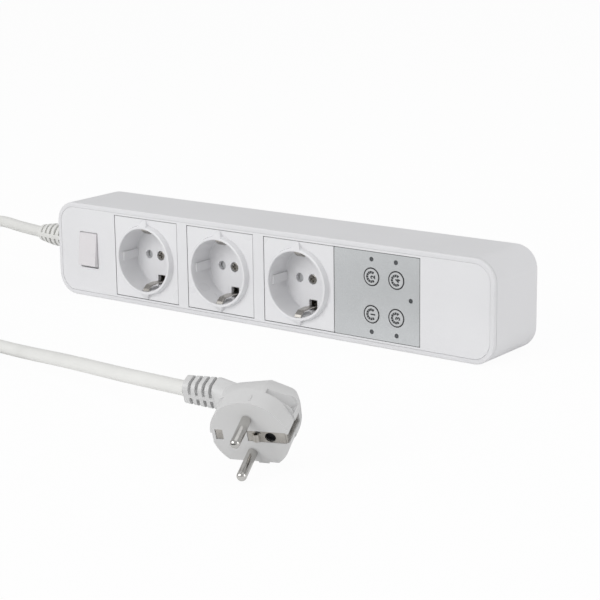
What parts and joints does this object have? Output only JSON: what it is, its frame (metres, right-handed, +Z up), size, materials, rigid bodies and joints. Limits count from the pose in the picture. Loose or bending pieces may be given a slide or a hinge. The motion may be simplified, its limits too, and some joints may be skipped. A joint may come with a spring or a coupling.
{
  "type": "desk power strip",
  "caption": "White desk power strip with earthed round sockets, a rocker switch, a grey panel of numbered power buttons and a mains lead with an angled plug",
  "frame": {"origin": "middle of the underside of the strip's box, the lead left out; the strip stands on its long side", "axes": "+X along the strip, away from the end where the lead leaves; -Y out of the socket face; +Z up"},
  "size_m": [0.4865, 0.2817, 0.06],
  "materials": {
    "shell_white": "fine satin moulding grain",
    "face_white": "satin",
    "socket_white": "satin gloss",
    "rocker_white": "satin gloss, slightly warm",
    "panel_grey": "fine speckled silver lacquer",
    "button_white": "satin gloss",
    "carrier_cream": "plain moulded",
    "shutter_grey": "satin",
    "contact_brass": "stamped",
    "earth_nickel": "nickel plated",
    "screw_zinc": "zinc plated",
    "black_plastic": "matt",
    "board_green": "solder mask",
    "relay_blue": "gloss",
    "transformer_yellow": "taped",
    "capacitor_black": "sleeved",
    "terminal_green": "plain moulded",
    "lens_grey": "smoked",
    "lead_white": "matt sheath",
    "core_brown": "insulated wire",
    "core_blue": "insulated wire",
    "core_yellow_green": "insulated wire",
    "plug_white": "satin moulded",
    "pin_nickel": "nickel plated",
    "tie_black": "soft"
  },
  "bodies": {
    "strip": {"rear_housing": "shell_white", "front_frame": "shell_white", "fascia": "face_white", "housing_screws": "screw_zinc", "well_screws": "screw_zinc", "live_contacts": "contact_brass", "neutral_rail": "contact_brass", "earth_rail": "earth_nickel", "button_panel": "panel_grey", "push_switches": "black_plastic", "lamp_lenses": "lens_grey", "lamp_chips": "button_white", "control_board": "board_green", "board_connector": "black_plastic", "relay_board": "board_green", "relays": "relay_blue", "supply_transformer": "transformer_yellow", "filter_capacitor": "capacitor_black", "terminal_block": "terminal_green", "rocker_body": "rocker_white", "rocker_terminals": "contact_brass", "cord_gland": "lead_white", "cord_inner_end": "lead_white", "cord_clamp": "carrier_cream", "clamp_screws": "screw_zinc", "live_core": "core_brown", "neutral_core": "core_blue", "earth_core": "core_yellow_green", "switched_core": "core_brown", "socket_wires": "core_brown", "rail_links": "core_blue", "plug_body": "plug_white", "plug_pins": "pin_nickel", "plug_earth_contact": "earth_nickel", "plug_relief": "plug_white", "lead_strip_side": "lead_white", "lead_plug_side": "lead_white", "lead_coil": "lead_white", "coil_tie": "tie_black", "socket_insert_1": "socket_white", "contact_carrier_1": "carrier_cream", "socket_insert_2": "socket_white", "contact_carrier_2": "carrier_cream", "socket_insert_3": "socket_white", "contact_carrier_3": "carrier_cream"},
    "rocker": {"rocker_cap": "rocker_white"},
    "key_1": {"button_1": "button_white", "plunger_1": "black_plastic"},
    "key_2": {"button_2": "button_white", "plunger_2": "black_plastic"},
    "key_3": {"button_3": "button_white", "plunger_3": "black_plastic"},
    "key_4": {"button_4": "button_white", "plunger_4": "black_plastic"},
    "shutter_1": {"shutter_1": "shutter_grey"},
    "shutter_2": {"shutter_2": "shutter_grey"},
    "shutter_3": {"shutter_3": "shutter_grey"}
  },
  "joints": [
    {"name": "rocker_tilt", "type": "hinge", "parent": "strip", "child": "rocker", "pos_m": [-0.1364, -0.01825, 0.0305], "axis": [1, 0, 0], "range_deg": [0, 13]},
    {"name": "key_1_press", "type": "slide", "parent": "strip", "child": "key_1", "axis": [0, 1, 0], "range_m": [0, 0.0005], "stiffness_N_per_m": 600, "springref_m": -0.001},
    {"name": "key_2_press", "type": "slide", "parent": "strip", "child": "key_2", "axis": [0, 1, 0], "range_m": [0, 0.0005], "stiffness_N_per_m": 600, "springref_m": -0.001},
    {"name": "key_3_press", "type": "slide", "parent": "strip", "child": "key_3", "axis": [0, 1, 0], "range_m": [0, 0.0005], "stiffness_N_per_m": 600, "springref_m": -0.001},
    {"name": "key_4_press", "type": "slide", "parent": "strip", "child": "key_4", "axis": [0, 1, 0], "range_m": [0, 0.0005], "stiffness_N_per_m": 600, "springref_m": -0.001},
    {"name": "shutter_1_slide", "type": "slide", "parent": "strip", "child": "shutter_1", "axis": [1, 0, 0], "range_m": [0, 0.0056], "stiffness_N_per_m": 60, "springref_m": -0.003},
    {"name": "shutter_2_slide", "type": "slide", "parent": "strip", "child": "shutter_2", "axis": [1, 0, 0], "range_m": [0, 0.0056], "stiffness_N_per_m": 60, "springref_m": -0.003},
    {"name": "shutter_3_slide", "type": "slide", "parent": "strip", "child": "shutter_3", "axis": [1, 0, 0], "range_m": [0, 0.0056], "stiffness_N_per_m": 60, "springref_m": -0.003}
  ]
}
